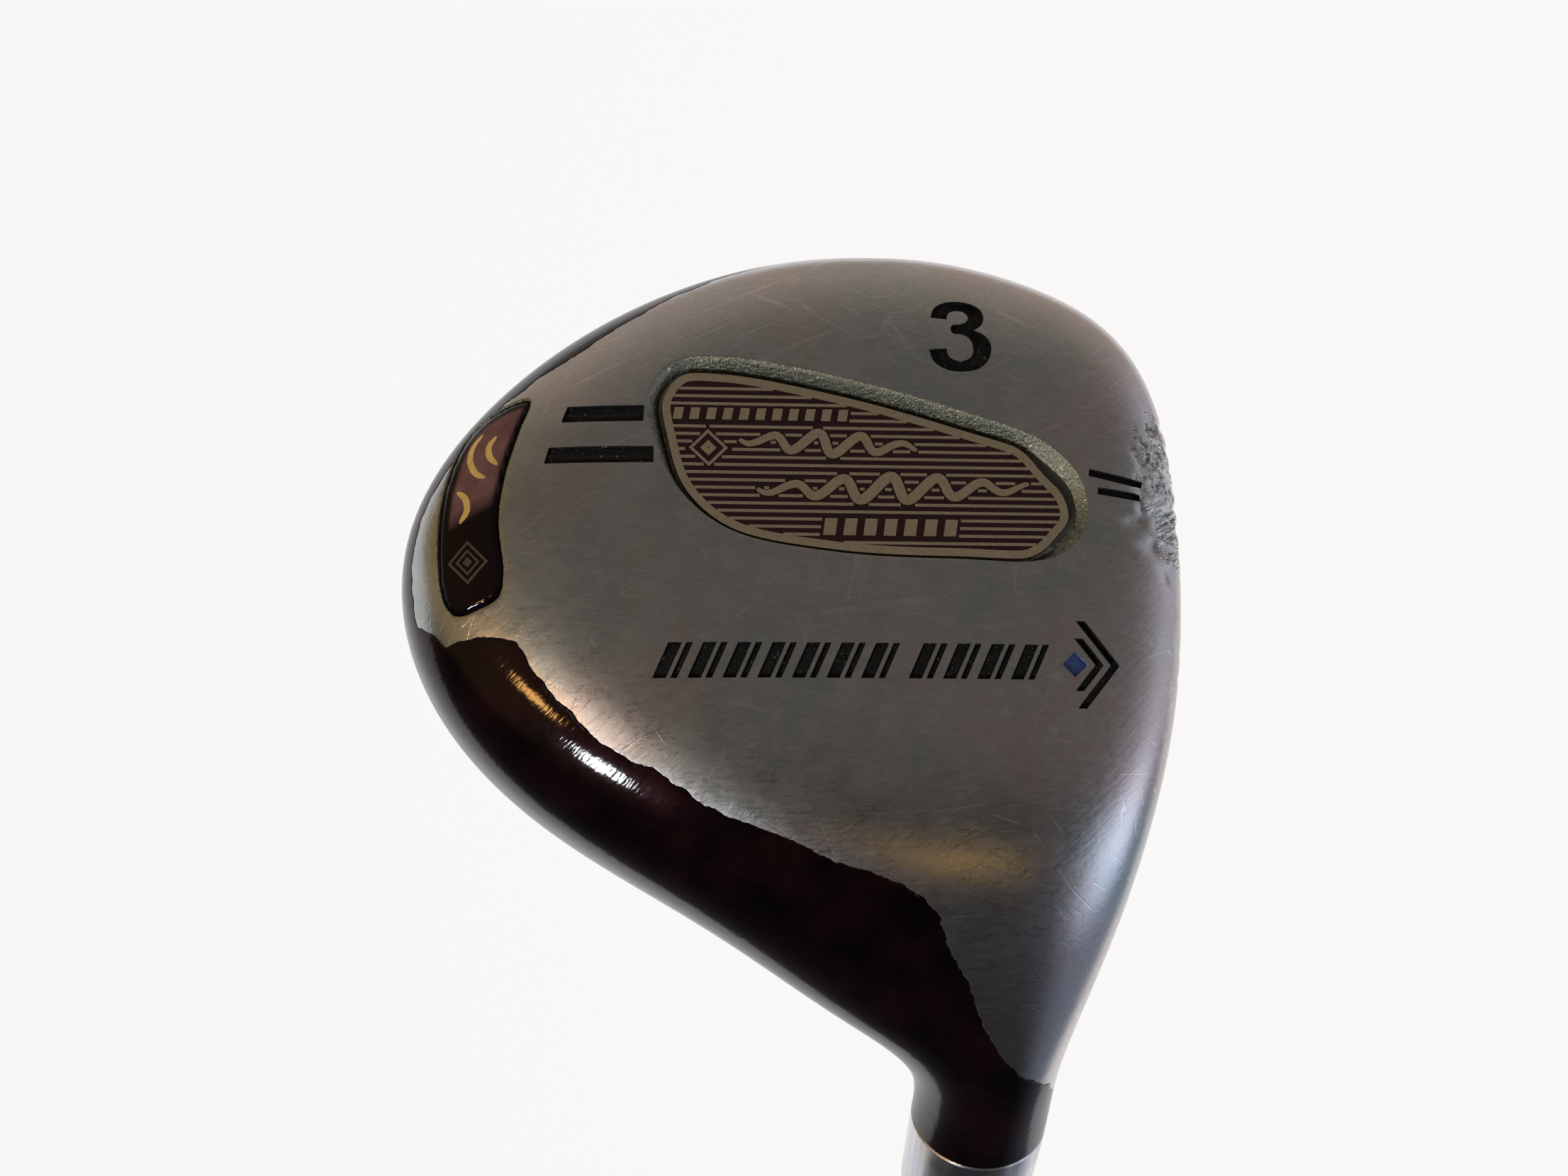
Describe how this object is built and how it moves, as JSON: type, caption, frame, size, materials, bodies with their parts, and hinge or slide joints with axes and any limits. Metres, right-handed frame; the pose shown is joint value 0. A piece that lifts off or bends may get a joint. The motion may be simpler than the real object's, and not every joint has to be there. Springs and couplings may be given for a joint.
{
  "type": "fairway wood",
  "caption": "Right-handed hollow steel fairway wood with a painted body, brushed sole, inlaid sole pocket, stepped steel shaft and rubber grip",
  "frame": {"origin": "centre of the flat butt end of the grip", "axes": "+Z along the shaft from the butt up to the head, +X the way the face looks, the toe towards +Y"},
  "size_m": [0.0757, 0.0732, 1.1181],
  "materials": {
    "body_paint": "glossy dark burgundy",
    "brushed_sole": "brushed, scratched by play",
    "face_steel": "fine brushed with score lines",
    "bare_steel": "as cast",
    "sole_badge": "pale gold lines on burgundy",
    "badge_tape": "adhesive sheet",
    "rear_badge": "dark printed plate",
    "badge_lens": "clear glossy dome",
    "foam": "rigid foam",
    "bush_plastic": "moulded",
    "ferrule": "polished",
    "shaft_chrome": "polished chrome",
    "cork": "cork",
    "brass_pin": "turned",
    "band": "plain film band",
    "paper_tape": "double-sided tape",
    "grip_rubber": "moulded with a grip pattern"
  },
  "bodies": {
    "root": {"crown_shell": "body_paint", "hosel": "body_paint", "sole_shell": "brushed_sole", "face_plate": "face_steel", "rear_weight": "bare_steel", "sole_badge": "sole_badge", "sole_badge_tape": "badge_tape", "rear_badge_plate": "rear_badge", "rear_badge_lens": "badge_lens", "rear_badge_tape": "badge_tape", "foam_core": "foam", "hosel_sleeve": "bush_plastic", "ferrule": "ferrule", "shaft": "shaft_chrome", "tip_plug": "cork", "tip_weight": "brass_pin", "shaft_band": "band", "grip_tape": "paper_tape", "grip_sleeve": "grip_rubber", "grip_cap": "grip_rubber"}
  },
  "joints": []
}
